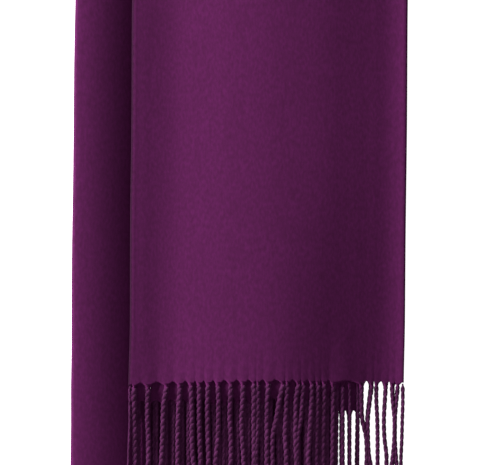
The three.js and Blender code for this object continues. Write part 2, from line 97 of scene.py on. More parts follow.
def edges(band, y):
    """Left and right edges of a band at y, with the slight waver of a fold made by hand."""
    t = smooth((y - GATHER_FROM) / (TURN_Y - GATHER_FROM))
    away = smooth(abs(y - HEM_Y) / 40)
    waver = away * (0.35 * math.sin(y / 61 + band["left"]) + 0.2 * math.sin(y / 23 + band["left"]))
    left = mix(band["left"], TURN_BAND["left"], t) + band["lean"][0] * (y - HEM_Y) + waver
    return left, mix(band["right"], TURN_BAND["right"], t) + band["lean"][1] * (y - HEM_Y) + 0.6 * waver


print("front hem", HEM_Y, "top fold", TOP_Y, "back hem", BACK_HEM_Y, "fringe", FRINGE_LENGTH)

# %% [markdown]
# ## The soft relief
# Loose layers of brushed cloth are never flat. The front stretch swells where air is caught between its layers
# and comes down to the table past the back band's right edge. Each of these forms has a cause, so a short
# table of heights across the band says it better than noise would. A smooth curve is drawn through the table.
# Places across the front band are given as insets, which are distances from its left fold at the hem.

# %% Heights of the front's face above the table
SWELL_Y = 160  # how far above the hem the second column of heights holds
BACK_INSET = 133.0  # where the back band, which the front lies on, ends
SELVEDGE_INSET = 147.0  # where the two short layers end
FACE_HEIGHTS = [  # inset, height at the hem, height further up
    (0, 13.6, 13.6),
    (3, 13.0, 13.1),
    (8, 12.6, 12.7),
    (13, 12.0, 12.2),
    (18, 11.5, 11.8),
    (23, 11.3, 11.5),
    (27, 11.3, 11.4),
    (32, 11.5, 11.5),
    (42, 12.2, 12.1),
    (51, 12.8, 12.7),
    (61, 13.3, 13.4),
    (71, 13.6, 13.8),
    (80, 13.7, 14.0),
    (90, 13.5, 14.0),
    (100, 12.9, 13.7),
    (109, 11.8, 13.3),
    (119, 10.2, 12.7),
    (128, 8.5, 11.9),
    (138, 6.6, 10.7),
    (145, 5.4, 9.9),
    (150, 4.5, 9.3),
    (155, 3.7, 8.8),
    (160, 3.0, 8.3),
    (165, 2.6, 8.0),
    (171, 2.7, 8.2),
    (177, 3.5, 9.0),
]


def curve_through(rows, column, at):
    """A smooth curve through one column of a table whose first column is the distance."""
    last = len(rows) - 1

    def slope(i):
        a, b = rows[max(0, i - 1)], rows[min(last, i + 1)]
        return (b[column] - a[column]) / (b[0] - a[0])

    k = 0
    while k < last - 1 and at > rows[k + 1][0]:
        k += 1
    length = rows[k + 1][0] - rows[k][0]
    t = min(1.0, max(0.0, (at - rows[k][0]) / length))
    rise = rows[k + 1][column] - rows[k][column]
    start, end = slope(k) * length, slope(k + 1) * length
    return rows[k][column] + start * t + (3 * rise - 2 * start - end) * t * t + (start + end - 2 * rise) * t**3


# %% What the layers lie on
WALL = 1.0
PLY = 1.25  # room for one layer
LEAST_PLY = 1.05  # room for one layer where the folded cloth lies closest
STACK = 4 * PLY
FOLD_DEPTH = 2.2  # how far the left folds reach past the flat layers
EDGE = 1.35  # how far the right fold does
SELVEDGE = 0.847  # share of the width at which the third and under layers end
BACK_PUFF = 8.8
FLATTEN_Y = 300  # from here up, the relief fades into the flat turn
LIFT_Y = 425  # from here up, the front band rises to clear the turn's lower half


def inner_edges(left, right):
    """Where a band's left fold ends and where its right fold starts."""
    return left + FOLD_DEPTH, right - EDGE


def back_top(x, y):
    """Top of the back band, swollen along its loose left fold and two layers lower past its selvedges."""
    left, right = edges(BACK_BAND, y)
    front_left = edges(FRONT_BAND, y)[0]
    apart = (front_left - left) / (FRONT_BAND["left"] - BACK_BAND["left"])
    strip = max(front_left - left - FOLD_DEPTH, 1.0)
    t = min(1.0, max(0.0, (front_left + 5 - x) / (strip + 5)))
    puff = BACK_PUFF * apart * (1 - (1 - t) ** 2)
    selvedge = mix(*inner_edges(left, right), SELVEDGE)
    step = 2 * PLY * (1 - smooth((y - FLATTEN_Y) / (TURN_Y - FLATTEN_Y)))
    return STACK + puff - step * smooth((x - selvedge - 8) / 12)


def past_back(x, y):
    """How far x is past the back band's right edge, as far as the cloth follows it down to the table."""
    edge = edges(BACK_BAND, y)[1] + 2
    reach = edges(FRONT_BAND, y)[1] - edge
    return (x - edge) * smooth((reach - 10) / 28)


def front_under(x, y):
    """What the front band lies on."""
    lying = mix(back_top(x, y) + 0.6, 0.0, smooth((past_back(x, y) - 3) / 13))
    return mix(lying, 2 * TURN_RADIUS - STACK, smooth((y - LIFT_Y) / (TURN_Y - LIFT_Y)))


def front_face(x, y):
    """The front's own face, which is never lower than its closely packed layers."""
    left = edges(FRONT_BAND, y)[0]
    back_right = edges(BACK_BAND, y)[1] + 2
    inset = (min(x, back_right) - left) * (BACK_INSET / (back_right - left)) + max(0.0, past_back(x, y))
    height = mix(
        curve_through(FACE_HEIGHTS, 1, inset),
        curve_through(FACE_HEIGHTS, 2, inset),
        smooth((y - HEM_Y) / SWELL_Y),
    )
    layers = mix(4 * LEAST_PLY, 2 * LEAST_PLY, smooth((inset - SELVEDGE_INSET) / 5))
    least = front_under(x, y) + layers + 0.1
    return mix(max(height, least), 2 * TURN_RADIUS, smooth((y - FLATTEN_Y) / (TURN_Y - FLATTEN_Y)))


print("face at the hem:", [round(front_face(x, HEM_Y), 1) for x in range(-65, 106, 17)])

# %% [markdown]
# ## The band from hem to hem
# The band starts at the front hem, runs up to the top fold, turns over and runs down to the back hem. "along"
# is the way from the front hem, and "height" is the distance from the table as if the whole band lay face up.
# With this one function the cloth can be drawn as if it were flat, and the top fold comes by itself.

# %% Placing a point of the band
TURN_START = TURN_Y - HEM_Y
TURN_END = TURN_START + math.pi * TURN_RADIUS
BACK_HEM = TURN_END + TURN_Y - BACK_HEM_Y


def place(x, along, height):
    """A point of the band in the scene's metres."""
    radius = height - TURN_RADIUS
    if along <= TURN_START:
        return Vector((x, HEM_Y + along, height)) * MM
    if along >= TURN_END:
        return Vector((x, TURN_Y - (along - TURN_END), TURN_RADIUS - radius)) * MM
    angle = (along - TURN_START) / TURN_RADIUS
    return Vector((x, TURN_Y + radius * math.sin(angle), TURN_RADIUS + radius * math.cos(angle))) * MM


def band_at(along):
    """The band's edges, and the heights of its face and under side, at one station."""
    if along < TURN_END:
        y = min(TURN_Y, HEM_Y + along)
        return *edges(FRONT_BAND, y), lambda x: front_face(x, y), lambda x: front_under(x, y)
    y = TURN_Y - (along - TURN_END)
    top = 2 * TURN_RADIUS
    return *edges(BACK_BAND, y), lambda x: top, lambda x: top - back_top(x, y)


print("the band is", round(BACK_HEM), "mm long")

# %% [markdown]
# ## The fringe's roots
# The maker gathered the warp ends by the dozen and twisted them, so every strand takes in the cloth on both
# sides of its root. The face row follows the photographed shawl strand by strand, because its uneven spacing
# is what the eye reads first. Each row of the table gives a strand's inset at the six distances below the hem
# in DOWN. The second layer's strands show only in the gaps, so their roots alone are given.

# %% The face row's paths
DOWN = [2.6, 11.5, 23.0, 34.6, 46.1, 51.2]  # mm below the hem
FACE_PATHS = [
    [0.9, 0.9, 0.9, 0.5, 0.1, 0.0],
    [3.7, 3.7, 3.9, 4.1, 4.4, 4.4],
    [12.5, 12.2, 12.1, 12.8, 12.9, 12.6],
    [24.3, 22.6, 22.0, 21.8, 21.2, 20.9],
    [32.8, 32.2, 31.6, 31.4, 31.4, 31.4],
    [39.9, 40.1, 40.4, 40.3, 40.8, 41.4],
    [45.1, 45.0, 44.9, 45.1, 45.7, 45.8],
    [50.8, 50.2, 50.2, 50.4, 50.8, 50.8],
    [57.0, 57.3, 57.1, 56.8, 55.7, 55.2],
    [65.2, 64.7, 64.4, 65.0, 65.2, 65.0],
    [72.8, 72.6, 71.9, 72.1, 73.0, 73.2],
    [79.7, 79.7, 79.6, 79.7, 79.8, 79.8],
    [82.2, 82.2, 82.2, 81.6, 80.9, 80.9],
    [88.8, 88.1, 87.9, 87.9, 87.9, 87.9],
    [97.9, 95.9, 94.0, 91.5, 91.3, 91.5],
    [100.8, 100.2, 99.8, 99.5, 100.2, 100.2],
    [107.8, 106.2, 106.2, 106.0, 106.4, 106.6],
    [110.9, 110.1, 109.4, 107.5, 107.0, 107.2],
    [116.4, 116.2, 115.5, 114.9, 114.2, 114.2],
    [120.2, 120.1, 119.7, 119.4, 119.2, 119.2],
    [124.2, 124.2, 123.8, 123.7, 123.5, 123.5],
    [130.0, 129.9, 129.9, 129.8, 129.6, 129.5],
    [148.2, 148.2, 148.5, 151.0, 151.6, 151.4],
    [154.8, 153.7, 152.4, 152.4, 153.0, 153.9],
    [157.8, 157.8, 158.3, 158.5, 158.5, 158.5],
    [163.8, 163.3, 162.6, 162.9, 164.2, 164.2],
    [167.9, 168.3, 169.3, 169.2, 168.3, 167.6],
    [171.5, 170.6, 169.6, 169.5, 170.2, 170.6],
    [174.7, 174.7, 174.3, 174.0, 173.5, 173.4],
]
# These hang from the third layer, whose lower hem shows at the right.
THIRD_PATHS = [
    [135.4, 135.4, 135.3, 135.2, 135.3, 135.4],
    [140.4, 140.4, 140.4, 140.4, 140.5, 140.6],
    [145.8, 145.8, 145.7, 145.5, 145.3, 145.2],
]
SECOND_ROOTS = [4.9, 12.4, 22.2, 31.6, 38.0, 45.2, 53.8, 60.9, 69.2, 76.8, 84.8, 94.6, 103.4, 113.2, 118.4]
SECOND_ROOTS += [122.2, 126.4, 129.6, 132.5, 136.0, 140.6, 145.7, 148.6, 154.2, 158.0, 163.6, 168.3, 173.6]


def at_inset(inset):
    """A place across the front hem as x."""
    return edges(FRONT_BAND, HEM_Y)[0] + inset


print(len(FACE_PATHS), "strands on the face,", len(SECOND_ROOTS), "on the second layer")

# %% [markdown]
# ## The section of the cloth
# Cut across the band, the cloth is one long curve. It starts at the selvedge of the third layer, runs left,
# turns in the inner left fold, runs right as the second layer, turns over in the right fold, comes back as the
# face, turns down round the outer left fold and ends in the selvedge of the under layer. Its columns are put
# where the strands need them: two beside each root and two between one root and the next. The cloth ripples
# most between strands that stand far apart, so each column also carries its share of that ripple.

# %% Columns of the four layers
HALF_ROOT = 1.6  # half the width of cloth that goes into one strand
PITCH = 5.6  # of the hidden rows' roots
SKIN = 0.55  # how far a layer's middle line lies inside the band's own surface
OUTER_STEPS, INNER_STEPS, RIGHT_STEPS = 12, 7, 8
FULLNESS = 9.0  # 2 makes a fold half an ellipse, more makes it fuller


def regular(start, end, pitch, seed):
    """Roots at a regular pitch, a little uneven."""
    steps = max(2, round((end - start) / pitch))
    return [mix(start, end, (i + 0.5) / steps) + 0.14 * pitch * wobble(i, seed) for i in range(steps)]


def columns(roots, start, end):
    """Places across one layer, as (x, root, ripple).

    The root is the one that the place is gathered into, or None between two roots. The ripple is 1 beside a
    root that stands alone, less beside a close one, and below 0 between roots.
    """
    found = [(start, None, 0.0)]
    for i, root in enumerate(roots):
        before = roots[i - 1] if i else start
        after = roots[i + 1] if i + 1 < len(roots) else end
        half = min(HALF_ROOT, 0.3 * (root - before) + (0 if i else 0.2), 0.3 * (after - root) + 0.1)
        half = max(half, 0.25)
        low, high = min(1.0, (root - before) / 8) ** 2, min(1.0, (after - root) / 8) ** 2
        found += [(root - half, root, low), (root + half, root, high)]
        if i + 1 < len(roots):
            found += [(mix(root, after, 0.42), None, -0.6 * high), (mix(root, after, 0.58), None, -0.6 * high)]
    return found + [(end, None, 0.0)]


front_left, front_right = edges(FRONT_BAND, HEM_Y)
TURN_LEFT, TURN_RIGHT = inner_edges(front_left, front_right)
SELVEDGE_X = mix(TURN_LEFT, TURN_RIGHT, SELVEDGE)


def inside(roots, start, end):
    """The roots that a layer's own flat stretch can carry."""
    return [x for x in roots if start + 0.7 < x < end - 0.7]


face_x = [at_inset(path[0]) for path in FACE_PATHS]
second_x = [at_inset(inset) for inset in SECOND_ROOTS]
third_x = regular(TURN_LEFT + 1, at_inset(BACK_INSET), PITCH, 31)
third_x += [at_inset(path[0]) for path in THIRD_PATHS]
under_x = regular(TURN_LEFT + 1, at_inset(BACK_INSET), PITCH, 37)
under_x += [at_inset(path[0]) for path in THIRD_PATHS]
LAYERS = {
    "third": columns(inside(third_x, TURN_LEFT, SELVEDGE_X), TURN_LEFT, SELVEDGE_X),
    "second": columns(inside(second_x, TURN_LEFT, TURN_RIGHT), TURN_LEFT, TURN_RIGHT),
    "face": columns(inside(face_x, TURN_LEFT, TURN_RIGHT), TURN_LEFT, TURN_RIGHT),
    "under": columns(inside(under_x, TURN_LEFT, SELVEDGE_X), TURN_LEFT, SELVEDGE_X),
}
print({name: len(found) for name, found in LAYERS.items()})


# %% One section of the cloth
def layer_height(layer, x, band):
    """Height of one layer's middle line at x."""
    left, right, face, under = band
    beyond = x - mix(*inner_edges(left, right), SELVEDGE)
    if layer == "face":
        return face(x) - SKIN
    if layer == "second":
        layers = mix(4, 2, smooth(beyond / 8))
        under_face = face(x) - SKIN - min(PLY, (face(x) - under(x)) / layers)
        return mix(under_face, under(x) + SKIN + 0.1, smooth((beyond + 4) / 16))
    if layer == "third":
        return under(x) + SKIN + min(PLY, (face(x) - under(x)) / 4)
    return under(x) + SKIN


def section_points(along):
    """The cloth's middle line at one station, as points of (layer, x at the hem, root, ripple, x, height)."""
    band = band_at(along)
    left, right = inner_edges(band[0], band[1])
    points = []

    def run(layer, backwards=False):
        """The flat stretch of one layer."""
        found = LAYERS[layer]
        for u, root, ripple in reversed(found) if backwards else found:
            x = mix(left, right, (u - TURN_LEFT) / (TURN_RIGHT - TURN_LEFT))
            points.append((layer, u, root, ripple, x, layer_height(layer, x, band)))

    def turn(x, start, end, reach, steps):
        """A full fold from one layer to another, reaching left where reach is below 0."""
        first, last = layer_height(start, x, band), layer_height(end, x, band)
        hem_x = TURN_LEFT if reach < 0 else TURN_RIGHT
        power = 2 / FULLNESS
        for i in range(1, steps):
            angle = math.pi * (i / steps + 0.07 * math.sin(4 * math.pi * i / steps))
            across = math.sin(angle) ** power
            upward = math.copysign(abs(math.cos(angle)) ** power, math.cos(angle))
            points.append((end, hem_x, None, 0.0, x + reach * across, mix(first, last, 0.5 - 0.5 * upward)))

    run("third", backwards=True)
    turn(left, "third", "second", -(FOLD_DEPTH - 0.5 * WALL - PLY), INNER_STEPS)
    run("second")
    turn(right, "second", "face", EDGE - 0.5 * WALL, RIGHT_STEPS)
    run("face", backwards=True)
    turn(left, "face", "under", -(FOLD_DEPTH - 0.5 * WALL), OUTER_STEPS)
    run("under")
    return points


SECTION_AT = 120.0  # a station where nothing but the folds shapes the cloth
section = section_points(SECTION_AT)

# %% [markdown]
# ## The hems
# The layers shifted when the shawl was folded, so the inner ones hang below the front hem. Below every hem the
# cloth narrows to a short tongue at each root, and between two tongues it is cut away in a small arch. That
# is how twisting the warp ends draws the last few picks of the weave together.

# %% Hem lines and rows
GATHERED = {0.0: 1.15, 0.9: 0.95, 1.9: 0.78, 3.2: 0.6}  # width of a tongue at each distance beyond the hem
TONGUE = list(GATHERED)
ARCH = 1.7  # how far the hem is cut back between two tongues
RIDGE = 0.2  # height of the ripple above the hem
LOOSE = ("face", "second")  # layers free to ripple
FOLD_SHADE_TO, FOLD_SHADE_FADE = 380, 300  # how far from the front hem the outer fold's colour is darkened as painted shade, and its fade
NEAR_HEM = 72.0  # rows lie closer up to here, where the ripple and the arches need them
FRONT_ROWS, TURN_ROWS, BACK_ROWS = 42, 10, 39


def hem_drop(layer, x):
    """How far a layer hangs below the line of the front hem's corners."""
    curve = -2.5 * math.sin(math.pi * (x - front_left) / (front_right - front_left))
    t = (x - TURN_LEFT) / (SELVEDGE_X - TURN_LEFT)
    if layer == "face":
        return curve
    if layer == "second":
        drop = mix(11.0, 8.0, smooth(t / 0.5))
        return mix(drop, curve, smooth((t - 0.82) / 0.12))
    if layer == "third":
        return mix(8.0, 17.8, smooth((t - 0.72) / 0.16))
    return 1.0


def sag(layer, below):
    """How far the second layer hangs down once the face no longer holds it up."""
    return 1.2 * smooth(below / 8) if layer == "second" else 0.0


def hem_station(layer, x, along):
    """Stations near the front hem follow the layer's own hem line."""
    return along - hem_drop(layer, x) * (1 - smooth(along / 70))


stations = [-d for d in reversed(TONGUE)]
stations += [1.2, 2.6, 4.4, 7.0, 11.0, 17.0, 26.0, 38.0, 54.0, NEAR_HEM]
stations += [mix(NEAR_HEM, TURN_START, (i + 1) / FRONT_ROWS) for i in range(FRONT_ROWS)]
stations += [mix(TURN_START, TURN_END, (i + 1) / TURN_ROWS) for i in range(TURN_ROWS)]
stations += [mix(TURN_END, BACK_HEM - 12.0, (i + 1) / BACK_ROWS) for i in range(BACK_ROWS)]
stations += [BACK_HEM - 7.0, BACK_HEM - 4.4, BACK_HEM - 2.6, BACK_HEM - 1.2]
stations += [BACK_HEM + d for d in TONGUE]
print(len(stations), "rows of points from hem to hem")

# %% [markdown]
# ## One sheet
# A grid is added as a primitive with one column for each point of the section and one row for each station.
# Then its points are set in their places, the cells between two tongues are deleted and a Solidify modifier
# gives the cloth its thickness. A grid keeps clean quads everywhere, which shade softly. The sheet also carries
# a UV map, its places on the flat cloth, and an attribute that marks where the outer fold gets painted shade.

# %% One row of the sheet


def select_only(obj):
    """Operators act on all that is selected, so one object is picked out first."""
    bpy.ops.object.select_all(action="DESELECT")
    obj.select_set(True)
    bpy.context.view_layer.objects.active = obj


def beyond_hem(station):
    """How far a row lies beyond either hem."""
    return round(max(0.0, -station, station - BACK_HEM), 3)


def sheet_row(station):
    """The points of one row, and their places on the flat cloth."""
    beyond = beyond_hem(station)
    outward = -1 if station < BACK_HEM / 2 else 1
    from_hem = max(0.0, min(station, BACK_HEM - station))
    row, flat, travel, before = [], [], 0.0, None
    ridge = -outward * RIDGE * math.exp(-from_hem / 9)
    for layer, u, root, ripple, x, height in section_points(min(BACK_HEM, max(0.0, station))):
        height += ridge * ripple if layer in LOOSE else 0.0
        travel += math.dist((x, height), before) if before else 0.0
        before = (x, height)
        along = hem_station(layer, x, station) if outward < 0 else station
        height -= sag(layer, -along)
        if root is None:
            along -= outward * ARCH * (1 - smooth(from_hem / 5))
        elif from_hem == 0:
            x += (root - u) * (1 - GATHERED[beyond])
        row.append(place(x, along, height))
        flat.append((travel * MM, station * MM))
    return row, flat


print("a row has", len(sheet_row(SECTION_AT)[0]), "points")

# %% Place the sheet
width = len(section)
bpy.ops.object.select_all(action="DESELECT")
bpy.ops.mesh.primitive_grid_add(x_subdivisions=width - 1, y_subdivisions=len(stations) - 1, size=1.0)
cloth = bpy.context.object
cloth.name = "folded_cloth"
cloth_uv = [0.0] * (2 * len(cloth.data.vertices))
for r, station in enumerate(stations):
    row, flat = sheet_row(station)
    for i, point in enumerate(row):
        cloth.data.vertices[r * width + i].co = point
        cloth_uv[2 * (r * width + i)] = flat[i][0]
        cloth_uv[2 * (r * width + i) + 1] = flat[i][1]

layer_uv = cloth.data.uv_layers.active or cloth.data.uv_layers.new(name="cloth")
for loop in cloth.data.loops:
    layer_uv.data[loop.index].uv = cloth_uv[2 * loop.vertex_index : 2 * loop.vertex_index + 2]
outer_fold = [i for i, point in enumerate(section) if point[:2] == ("under", TURN_LEFT)]
# painted shade: this attribute marks the outer left fold's columns, whose colour the cloth material darkens
painted_fold_shade = cloth.data.attributes.new("painted_fold_shade", "FLOAT", "POINT")
for r, station in enumerate(stations):
    for i in outer_fold:
        painted_fold_shade.data[r * width + i].value = 1.0 - smooth((station - FOLD_SHADE_TO) / FOLD_SHADE_FADE)
print("the sheet has", len(cloth.data.polygons), "cells, and", len(outer_fold), "columns on its outer fold")

# %% Cut the arches between the strands
roots_of = [point[2] for point in section]
select_only(cloth)
bpy.ops.object.mode_set(mode="EDIT")
bpy.ops.mesh.select_mode(type="FACE")
bpy.ops.mesh.select_all(action="DESELECT")
bpy.ops.object.mode_set(mode="OBJECT")
for polygon in cloth.data.polygons:
    rows_of = sorted({v // width for v in polygon.vertices})
    sides = sorted({v % width for v in polygon.vertices})
    outside = beyond_hem(stations[rows_of[0]]) + beyond_hem(stations[rows_of[1]]) > 0
    between = roots_of[sides[0]] is None or roots_of[sides[0]] != roots_of[sides[1]]
    polygon.select = outside and between
print("cells cut away:", sum(1 for polygon in cloth.data.polygons if polygon.select))
bpy.ops.object.mode_set(mode="EDIT")
bpy.ops.mesh.delete(type="FACE")
bpy.ops.object.mode_set(mode="OBJECT")

# %% Give the cloth its thickness
solid = cloth.modifiers.new("thickness", "SOLIDIFY")
solid.thickness = WALL * MM
solid.offset = 0.0
solid.use_even_offset = False
select_only(cloth)
bpy.ops.object.modifier_apply(modifier="thickness")
bpy.ops.object.shade_smooth()
print("triangles in the cloth:", sum(len(p.vertices) - 2 for p in cloth.data.polygons))

# %% [markdown]
# ## The strands
# Each strand is two bunches of warp ends twisted round each other, which makes a row of small beads. A curve
# swept with a profile of two lobes, and turned as it goes, gives exactly that form. It is thick at its root,
# where it still holds the woven cloth, and tapers where the twist ends in loose fibres.

# %% The two-ply profile
LAY = 8.4  # one full turn of the twist
STEP = 0.9  # from one point of a strand's path to the next
FACE_RADIUS = 1.82
STRAND_RADIUS = 1.6
LOOSE_RADIUS = 1.48  # of the face's strands past the selvedges
THIN_RADIUS = 1.3
SUNK = 0.7  # a strand's middle lies this far below its layer's, so that their tops are level


def close_curve(name, points):
    """A closed flat outline to sweep along a strand."""
    data = bpy.data.curves.new(name, "CURVE")
    data.dimensions = "2D"
    spline = data.splines.new("POLY")
    spline.points.add(len(points) - 1)
    for point, (x, y) in zip(spline.points, points):
        point.co = (x, y, 0.0, 1.0)
    spline.use_cyclic_u = True
    obj = bpy.data.objects.new(name, data)
    bpy.context.collection.objects.link(obj)
    return obj


def two_ply(name, count, groove):
    """A round outline with two grooves, which the turning makes into the lines between the plies."""
    points = []
    for i in range(count):
        angle = 2 * math.pi * i / count
        radius = 1.0 - groove * abs(math.sin(angle)) ** 5
        points.append((radius * math.cos(angle) * MM, radius * math.sin(angle) * MM))
    return close_curve(name, points)


profile = two_ply("two_ply_profile", 14, 0.24)
hidden_profile = two_ply("hidden_profile", 8, 0.25)
print("points round a strand:", len(profile.data.splines[0].points))


# %% A row of strands
def strand_radius(down, length, radius):
    """Thin inside the cloth, flared where it leaves it, nearly even below that and thin at the tip."""
    flare = mix(0.35, 1.1, smooth(down / 3.2)) - 0.1 * smooth((down - 3.2) / 6.0)
    tip = mix(0.55, 1.0, smooth((length - down) / 5.0))
    return radius * flare * tip


def add_fringe(name, strands, outline):
    """One piece of fringe: every strand is a path of (x, y, z) points in mm, with its radius."""
    data = bpy.data.curves.new(name, "CURVE")
    data.dimensions = "3D"
    data.twist_mode = "Z_UP"
    data.bevel_mode = "OBJECT"
    data.bevel_object = outline
    data.use_fill_caps = True
    for number, (path, radius) in enumerate(strands):
        spline = data.splines.new("POLY")
        spline.points.add(len(path) - 1)
        length = (len(path) - 1) * STEP
        for i, (point, where) in enumerate(zip(spline.points, path)):
            down = i * STEP
            point.co = (*(v * MM for v in where), 1.0)
            point.radius = strand_radius(down, length, radius)
            point.tilt = 2 * math.pi * down / LAY * (1 + 0.06 * wobble(number, 51)) + number * 1.7
    obj = bpy.data.objects.new(name, data)
    bpy.context.collection.objects.link(obj)
    select_only(obj)
    bpy.ops.object.convert(target="MESH")
    obj = bpy.context.object
    bpy.ops.object.shade_smooth()
    print(name, len(strands), "strands,", sum(len(p.vertices) - 2 for p in obj.data.polygons), "triangles")
    return obj


def strand_path(x, hem_y, length, sideways, height):
    """A strand's middle line from a little above its hem down to its tip."""
    steps = round(length / STEP)
    points = []
    for i in range(steps + 1):
        down = i * STEP
        across = x + sideways(down)
        lowest = strand_radius(down, length, THIN_RADIUS) + 0.05
        points.append((across, hem_y - down, max(lowest, height(across, hem_y - down))))
    return points


print("a full strand has", round(FRINGE_LENGTH / STEP) + 1, "points")

# %% Paths of the front rows
LEVELS = {"under": 1.25, "third": 2.85, "second": 3.4, "face": 4.6}  # above what the fringe rests on
SHOWN_TO = 51  # how far below the hem the photograph shows the strands
EASE = 14  # below that, a strand's sideways way dies away over this distance
SETTLE = 24  # how far below the hem the rows have settled
INTO_CLOTH = 1.0  # a strand starts this far inside its hem


def along_path(path):
    """Sideways way of a face strand, which keeps its last direction, ever less, down to the tip."""
    rows = [(0.0, path[0])] + list(zip(DOWN, path))
    slope = (path[-1] - path[-2]) / (DOWN[-1] - DOWN[-2])

    def sideways(down):
        if down < DOWN[-1]:
            return curve_through(rows, 1, down) - path[0]
        over = down - DOWN[-1]
        return path[-1] - path[0] + slope * EASE * (1 - math.exp(-over / EASE))

    return sideways


def sway(drift, bow):
    """Sideways way of a strand that drifts to one side and bows a little."""
    return lambda down: drift * min(1.0, down / SHOWN_TO) + bow * math.sin(math.pi * min(1.0, down / SHOWN_TO))


def hem_line(layer, x):
    """A layer's own hem at x."""
    return HEM_Y - hem_drop(layer, x)


def settle(start, level):
    """Height of a strand: from its own layer at the hem down to the level where its row settles."""

    def height(x, y):
        t = smooth((HEM_Y - y - 1) / SETTLE)
        return mix(start(x) - SUNK, front_under(x, y) + level(x), t)

    return height


def face_level(x):
    """The face's strands lie lower past the selvedges, where fewer strands lie under them."""
    return mix(LEVELS["face"], LEVELS["second"], smooth((x - at_inset(SELVEDGE_INSET - 4)) / 8))


ODD_RADII = {0: 0.85, 1: 2.0, len(FACE_PATHS) - 1: THIN_RADIUS}


def face_radius(number, inset):
    """The strands at both ends were twisted from other numbers of warp ends, and the right ones are thinner."""
    if number in ODD_RADII:
        return ODD_RADII[number]
    return FACE_RADIUS if inset < 126 else STRAND_RADIUS if inset < SELVEDGE_INSET else LOOSE_RADIUS


hem_band = band_at(0.0)
face_strands = []
for i, path in enumerate(FACE_PATHS):
    x = at_inset(path[0])
    height = settle(lambda x: layer_height("face", x, hem_band), face_level)
    length = FRINGE_LENGTH - 3.0 - 1.5 * abs(wobble(i, 1))
    way = strand_path(x, hem_line("face", x) + INTO_CLOTH, length, along_path(path), height)
    face_strands.append((way, face_radius(i, path[0])))
front_fringe = add_fringe("front_fringe_strands", face_strands, profile)

# %% [markdown]
# The layers under the face keep the same rule. The second layer's strands hang lower and show between the
# face's, and the third and under layers' strands lie on what the fringe rests on. Past the selvedges of the
# two lower layers each hidden strand lies right under a visible one, so the white table shows between them.

# %% Paths of the second front row


def follow(inset, seed):
    """Sideways way of a hidden strand: its own small sway, or that of the visible strand above it."""
    nearest = min(FACE_PATHS, key=lambda path: abs(path[0] - inset))
    if inset > SELVEDGE_INSET and abs(nearest[0] - inset) < STRAND_RADIUS:
        return along_path(nearest)
    if inset > BACK_INSET:
        return sway(0.0, 0.0)
    return sway(1.1 * wobble(seed, 3), 0.3 * wobble(seed, 4))


def second_start(x):
    """Height of the second layer's hem, which has sagged below the face."""
    return layer_height("second", x, hem_band) - sag("second", hem_drop("second", x))


second_strands = []
for i, x in enumerate(inside(second_x, TURN_LEFT, TURN_RIGHT)):
    inset = x - front_left
    height = settle(second_start, lambda x: LEVELS["second"])
    length = FRINGE_LENGTH - 3 - 2 * abs(wobble(i, 2)) - 6 * smooth((inset - 140) / 10)
    way = strand_path(x, hem_line("second", x) + INTO_CLOTH, length, follow(inset, i), height)
    second_strands.append((way, THIN_RADIUS if inset > 140 else STRAND_RADIUS))
second_fringe = add_fringe("front_second_fringe_strands", second_strands, profile)

# %% Paths of the two lowest front rows
low_strands = []
shown = {round(at_inset(path[0]), 3): path for path in THIRD_PATHS}
for layer, roots, seed in (("third", third_x, 61), ("under", under_x, 67)):
    height = settle(lambda x: layer_height(layer, x, hem_band), lambda x: LEVELS[layer])
    for i, x in enumerate(inside(roots, TURN_LEFT, SELVEDGE_X)):
        path = shown.get(round(x, 3))
        sideways = along_path(path) if path else sway(0.7 * wobble(i, seed), 0.2 * wobble(i, seed + 1))
        length = FRINGE_LENGTH - 4 - 2 * abs(wobble(i, seed + 2)) - (7 if layer == "third" and path else 0)
        way = strand_path(x, hem_line(layer, x) + INTO_CLOTH, length, sideways, height)
        low_strands.append((way, THIN_RADIUS * (1.12 if path else 1.0)))
under_fringe = add_fringe("front_under_fringe_strands", low_strands, profile)

# %% Paths of the back rows
back_band = band_at(BACK_HEM)
back_left, back_right = inner_edges(back_band[0], back_band[1])


def back_strand(layer, x, seed, level, radius):
    """A strand on the back hem, where the band lies upside down."""
    across = mix(back_left, back_right, (x - TURN_LEFT) / (TURN_RIGHT - TURN_LEFT))
    start = 2 * TURN_RADIUS - layer_height(layer, across, back_band) - SUNK

    def height(x, y):
        return mix(start, level, smooth((BACK_HEM_Y - y - 4) / 25))

    sideways = sway(0.7 * wobble(seed, 71), 0.4 * wobble(seed, 73))
    length = FRINGE_LENGTH - 1.2 - 1.6 * abs(wobble(seed, 79))
    return strand_path(across, BACK_HEM_Y + INTO_CLOTH, length, sideways, height), radius


# each layer, its roots, and the height where its strands settle
back_rows = [("under", under_x, LEVELS["second"]), ("third", third_x, 2.4)]
back_rows += [("second", second_x, 1.3), ("face", face_x, 1.2)]
tops, lows = [], []
for layer, roots, level in back_rows:
    end = SELVEDGE_X if layer in ("under", "third") else TURN_RIGHT
    for i, x in enumerate(inside(roots, TURN_LEFT, end)):
        where, radius = (tops, STRAND_RADIUS) if layer == "under" else (lows, THIN_RADIUS)
        where.append(back_strand(layer, x, i + 10 * len(layer), level, radius))
back_fringe = add_fringe("back_fringe_strands", tops, profile)
back_under_fringe = add_fringe("back_under_fringe_strands", lows, hidden_profile)
bpy.data.objects.remove(profile)
bpy.data.objects.remove(hidden_profile)
